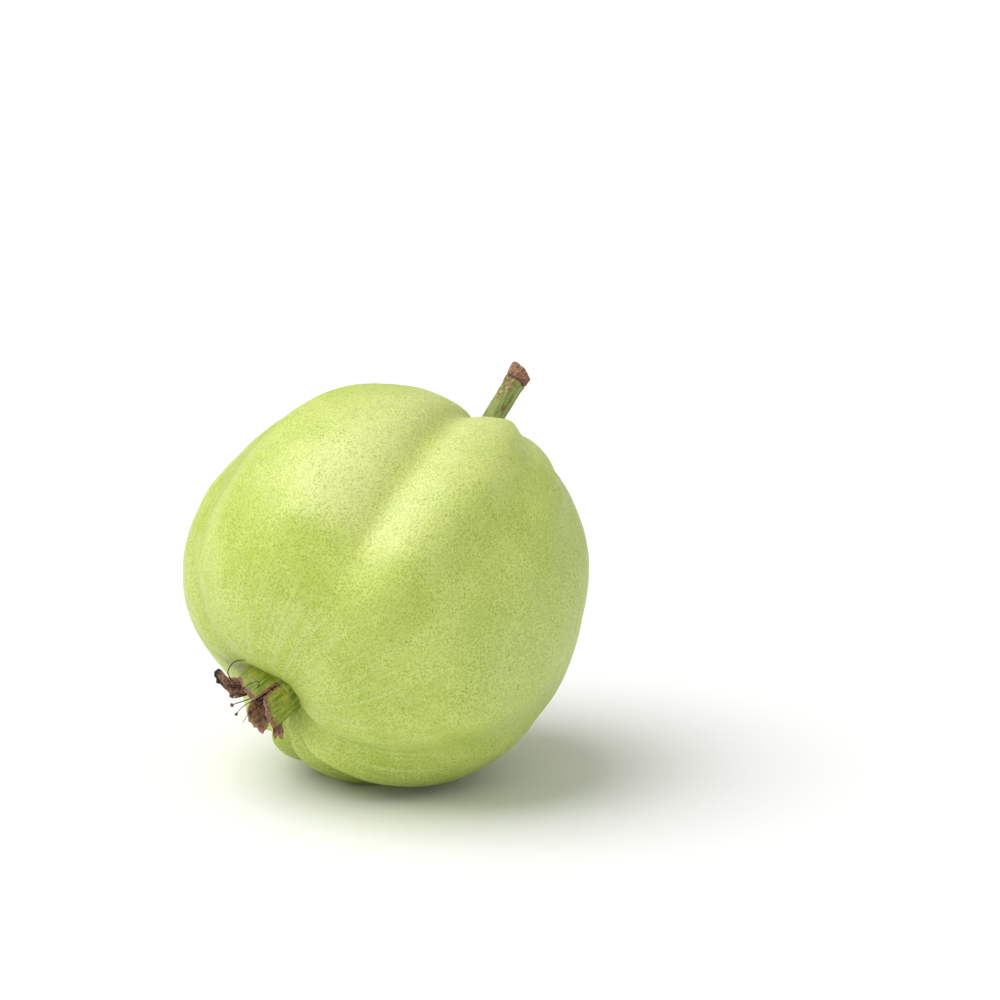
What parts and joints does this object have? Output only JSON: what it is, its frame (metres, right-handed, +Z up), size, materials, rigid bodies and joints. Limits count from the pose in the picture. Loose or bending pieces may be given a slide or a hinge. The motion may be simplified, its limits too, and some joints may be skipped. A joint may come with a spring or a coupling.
{
  "type": "guava",
  "caption": "Whole pale green guava with a short cut stalk and a dried flower end, lying on its side on a small flat spot.",
  "frame": {"origin": "centre of the small flat spot that the fruit rests on", "axes": "+Z up from the surface it rests on, -Y towards the side seen in the picture, the stalk leaning up to +X and +Y"},
  "size_m": [0.0897, 0.0928, 0.0884],
  "materials": {
    "skin": "satin, finely speckled waxy skin",
    "stalk": "matt, green below and corky brown at the tip",
    "sepal_green": "satin, fleshy",
    "sepal_dry": "matt, papery and brown"
  },
  "bodies": {
    "root": {"fruit": "skin", "stalk": "stalk", "calyx": "sepal_green", "calyx_dry": "sepal_dry"}
  },
  "joints": []
}
